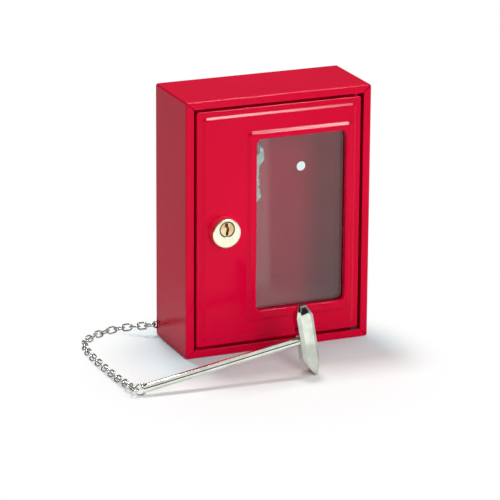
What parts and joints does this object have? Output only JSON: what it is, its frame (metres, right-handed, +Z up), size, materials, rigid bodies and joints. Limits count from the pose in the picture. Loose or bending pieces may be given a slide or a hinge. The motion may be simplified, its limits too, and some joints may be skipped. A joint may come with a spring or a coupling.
{
  "type": "break glass key box",
  "caption": "Small red sheet-steel wall cabinet with a glazed, locked door for an emergency key, and a metal hammer on a chain.",
  "frame": {"origin": "middle of the case's underside", "axes": "+X to the right seen from the front, +Y towards the wall behind, +Z up"},
  "size_m": [0.1746, 0.1172, 0.16],
  "materials": {
    "red_paint": "glossy red powder coat",
    "zinc_steel": "zinc plated",
    "nickel_steel": "nickel plated, polished",
    "bright_steel": "turned and nickel plated",
    "nickel_brass": "satin nickel over brass",
    "brass": "satin brass",
    "nylon": "natural nylon",
    "clear_glass": "clear flat glass"
  },
  "bodies": {
    "case": {"case_shell": "red_paint", "hinge_bracket_top": "zinc_steel", "hinge_bracket_bottom": "zinc_steel", "hinge_pin_top": "zinc_steel", "hinge_pin_bottom": "zinc_steel", "hinge_washer": "nylon", "strike_bracket": "zinc_steel", "stop_tabs": "zinc_steel", "key_hook": "zinc_steel", "hook_rivets": "zinc_steel", "chain_stud": "nickel_steel", "chain_end_link": "nickel_steel"},
    "door": {"door_panel": "red_paint", "glass_pane": "clear_glass", "glass_rail_left": "zinc_steel", "glass_rail_right": "zinc_steel", "glass_rail_bottom": "zinc_steel", "glass_clip": "zinc_steel", "clip_stud": "zinc_steel", "clip_nut": "zinc_steel", "lock_barrel": "nickel_brass", "lock_nut": "nickel_brass"},
    "lock_rotor": {"lock_plug": "brass", "lock_cam": "zinc_steel", "cam_screw": "zinc_steel"},
    "key": {"emergency_key": "nickel_steel"},
    "chain_1": {"chain_run_1": "nickel_steel"},
    "chain_2": {"chain_run_2": "nickel_steel"},
    "chain_3": {"chain_run_3": "nickel_steel"},
    "ring": {"handle_ring": "nickel_steel"},
    "hammer": {"hammer_handle": "bright_steel", "hammer_head": "bright_steel"}
  },
  "joints": [
    {"name": "door_hinge", "type": "hinge", "parent": "case", "child": "door", "pos_m": [0.0506, -0.0223, 0.08], "axis": [0, 0, 1], "range_deg": [0, 92]},
    {"name": "lock_turn", "type": "hinge", "parent": "door", "child": "lock_rotor", "pos_m": [-0.0369, -0.0216, 0.0819], "axis": [0, 1, 0], "range_deg": [0, 90]},
    {"name": "key_swing", "type": "hinge", "parent": "case", "child": "key", "pos_m": [0.0015, 0.0185, 0.1131], "axis": [0, 1, 0], "range_deg": [-12, 12]},
    {"name": "chain_swing_1", "type": "hinge", "parent": "case", "child": "chain_1", "pos_m": [-0.062, 0.02315, 0.0075], "axis": [0, 0, 1], "range_deg": [-10, 10]},
    {"name": "chain_swing_2", "type": "hinge", "parent": "chain_1", "child": "chain_2", "pos_m": [-0.10441, 0.02603, 0.00202], "axis": [0, 0, 1], "range_deg": [-10, 10]},
    {"name": "chain_swing_3", "type": "hinge", "parent": "chain_2", "child": "chain_3", "pos_m": [-0.11244, -0.02314, 0.00204], "axis": [0, 0, 1], "range_deg": [-10, 10]},
    {"name": "hammer_swing", "type": "hinge", "parent": "chain_3", "child": "ring", "pos_m": [-0.11114, -0.07315, 0.0041], "axis": [0, 0, 1], "range_deg": [-73.6, 0]},
    {"name": "hammer_lift", "type": "hinge", "parent": "ring", "child": "hammer", "pos_m": [-0.10764, -0.07315, 0.0041], "axis": [0, -1, 0], "range_deg": [0, 60]}
  ],
  "couplings": [
    {"joint": "hammer_swing", "follows": "door_hinge", "ratio": -0.8}
  ]
}
